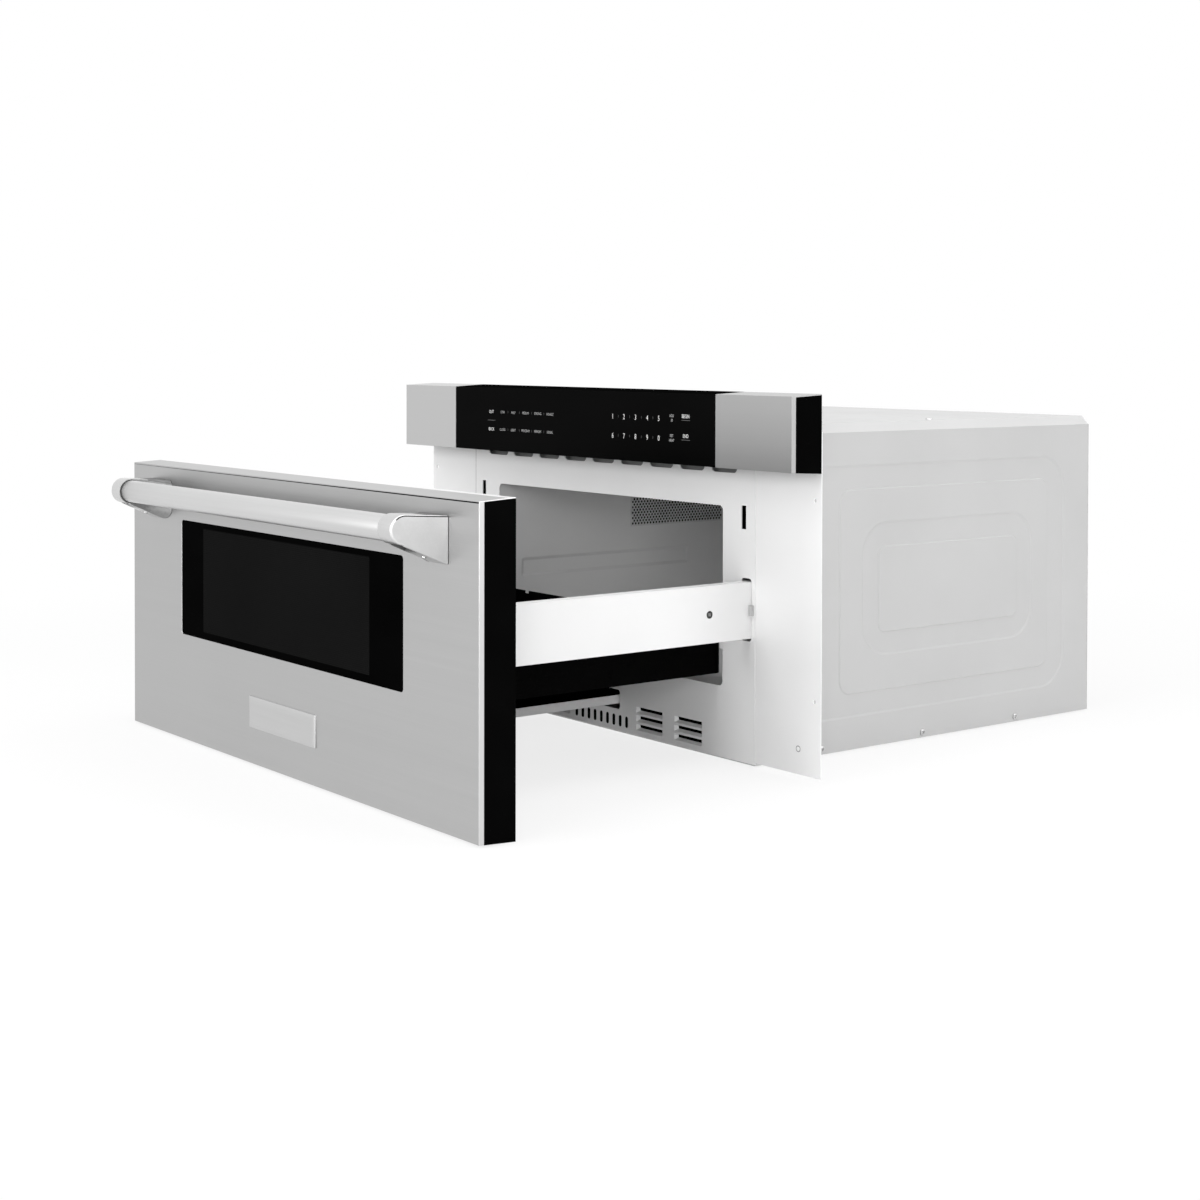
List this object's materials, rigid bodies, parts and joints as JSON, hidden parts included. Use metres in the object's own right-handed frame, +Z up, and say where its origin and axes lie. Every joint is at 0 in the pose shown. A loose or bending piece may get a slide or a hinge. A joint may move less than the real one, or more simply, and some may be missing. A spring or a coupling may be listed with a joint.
{
  "type": "built-in microwave drawer",
  "caption": "Built-in microwave oven whose front pulls out as a drawer with a pan, a see-through window, a bar handle and a touch panel above.",
  "frame": {"origin": "middle of the chassis's front bottom edge: on the base plate's underside, in the plane of the cabinet face", "axes": "+X to the right seen from the front, +Y into the cabinet, +Z up; the drawer opens towards -Y"},
  "size_m": [0.76, 1.0639, 0.414],
  "materials": {
    "brushed_front": "fine vertical brushing, satin",
    "handle_steel": "satin, brushed along the bar",
    "badge_metal": "bare satin plate with bright chamfered edges",
    "white_coat": "light grey-white powder coat, semi-matte",
    "cavity_coat": "grey enamel, satin",
    "zinc_sheet": "galvanised sheet, satin",
    "slide_steel": "zinc-plated, bright",
    "drive_steel": "bright rolled steel",
    "black_frame": "black, matt",
    "panel_glass": "black, glossy, printed from behind",
    "window_glass": "dark tinted, glossy, black printed border",
    "window_mesh": "black perforated sheet",
    "pan_enamel": "black, semi-gloss",
    "tray_glass": "clear, glossy",
    "white_nylon": "white nylon",
    "black_moulding": "black moulding",
    "green_board": "circuit board",
    "motor_case": "plated motor can",
    "core_iron": "varnished core and windings",
    "bare_aluminium": "bare",
    "lamp_glass": "frosted bulb",
    "screw_steel": "plated screws"
  },
  "bodies": {
    "chassis": {"base_plate": "zinc_sheet", "case_screws": "screw_steel", "cavity_lamp": "lamp_glass", "cavity_shell": "cavity_coat", "cavity_vent_grille": "cavity_coat", "control_board": "green_board", "control_glass": "panel_glass", "control_housing": "black_frame", "cord_gland": "black_moulding", "exhaust_duct": "zinc_sheet", "fan_motor": "motor_case", "fan_shroud": "black_moulding", "front_plate": "white_coat", "gear_motor": "motor_case", "guide_blocks": "white_nylon", "high_voltage_capacitor": "bare_aluminium", "high_voltage_transformer": "core_iron", "interlock_switches": "black_moulding", "lamp_housing": "zinc_sheet", "magnetron": "motor_case", "noise_filter_board": "green_board", "outer_wrapper": "white_coat", "panel_cap_left": "brushed_front", "panel_cap_right": "brushed_front", "pinion_bracket": "zinc_sheet", "rear_panel": "zinc_sheet", "slide_outer_left": "slide_steel", "slide_outer_right": "slide_steel", "slide_supports": "zinc_sheet", "stirrer_cover": "white_nylon", "stirrer_motor": "motor_case", "trim_flange_left": "white_coat", "trim_flange_right": "white_coat", "waveguide": "zinc_sheet"},
    "drawer": {"drawer_skin": "brushed_front", "drawer_frame": "black_frame", "window_glass": "window_glass", "window_screen": "window_mesh", "choke_cover": "black_frame", "badge_plate": "badge_metal", "handle_bar": "handle_steel", "handle_bracket_left": "handle_steel", "handle_bracket_right": "handle_steel", "drawer_pan": "pan_enamel", "glass_tray": "tray_glass", "rail_cover_left": "white_coat", "rail_cover_right": "white_coat", "slide_inner_left": "slide_steel", "slide_inner_right": "slide_steel", "latch_hooks": "black_moulding", "drive_rail": "drive_steel", "drive_rack": "black_moulding", "drawer_screws": "screw_steel"},
    "slide_stage_left": {"slide_middle_left": "slide_steel"},
    "slide_stage_right": {"slide_middle_right": "slide_steel"},
    "pinion": {"drive_pinion": "white_nylon"},
    "fan": {"fan_impeller": "white_nylon"},
    "stirrer": {"stirrer_antenna": "bare_aluminium"},
    "lever_left": {"interlock_lever_left": "white_nylon"},
    "lever_right": {"interlock_lever_right": "white_nylon"}
  },
  "joints": [
    {"name": "drawer_slide", "type": "slide", "parent": "chassis", "child": "drawer", "axis": [0, -1, 0], "range_m": [-0.391, 0]},
    {"name": "slide_stage_left_slide", "type": "slide", "parent": "chassis", "child": "slide_stage_left", "axis": [0, -1, 0], "range_m": [-0.1955, 0]},
    {"name": "slide_stage_right_slide", "type": "slide", "parent": "chassis", "child": "slide_stage_right", "axis": [0, -1, 0], "range_m": [-0.1955, 0]},
    {"name": "pinion_spin", "type": "hinge", "parent": "chassis", "child": "pinion", "pos_m": [0, 0.045, 0.0564], "axis": [1, 0, 0], "range_deg": [-5, 1605]},
    {"name": "fan_spin", "type": "hinge", "parent": "chassis", "child": "fan", "pos_m": [-0.157, 0.5528, 0.185], "axis": [0, 1, 0], "continuous": true},
    {"name": "stirrer_spin", "type": "hinge", "parent": "chassis", "child": "stirrer", "pos_m": [0, 0.206, 0.29], "axis": [0, 0, 1], "continuous": true},
    {"name": "lever_left_press", "type": "hinge", "parent": "chassis", "child": "lever_left", "pos_m": [-0.2565, 0.027, 0.287], "axis": [1, 0, 0], "range_deg": [0, 12], "stiffness_Nm_per_rad": 0.01},
    {"name": "lever_right_press", "type": "hinge", "parent": "chassis", "child": "lever_right", "pos_m": [0.2565, 0.027, 0.287], "axis": [1, 0, 0], "range_deg": [0, 12], "stiffness_Nm_per_rad": 0.01}
  ],
  "couplings": [
    {"joint": "slide_stage_left_slide", "follows": "drawer_slide", "ratio": 0.5},
    {"joint": "slide_stage_right_slide", "follows": "drawer_slide", "ratio": 0.5},
    {"joint": "pinion_spin", "follows": "drawer_slide", "rad_per_m": -71.429}
  ]
}
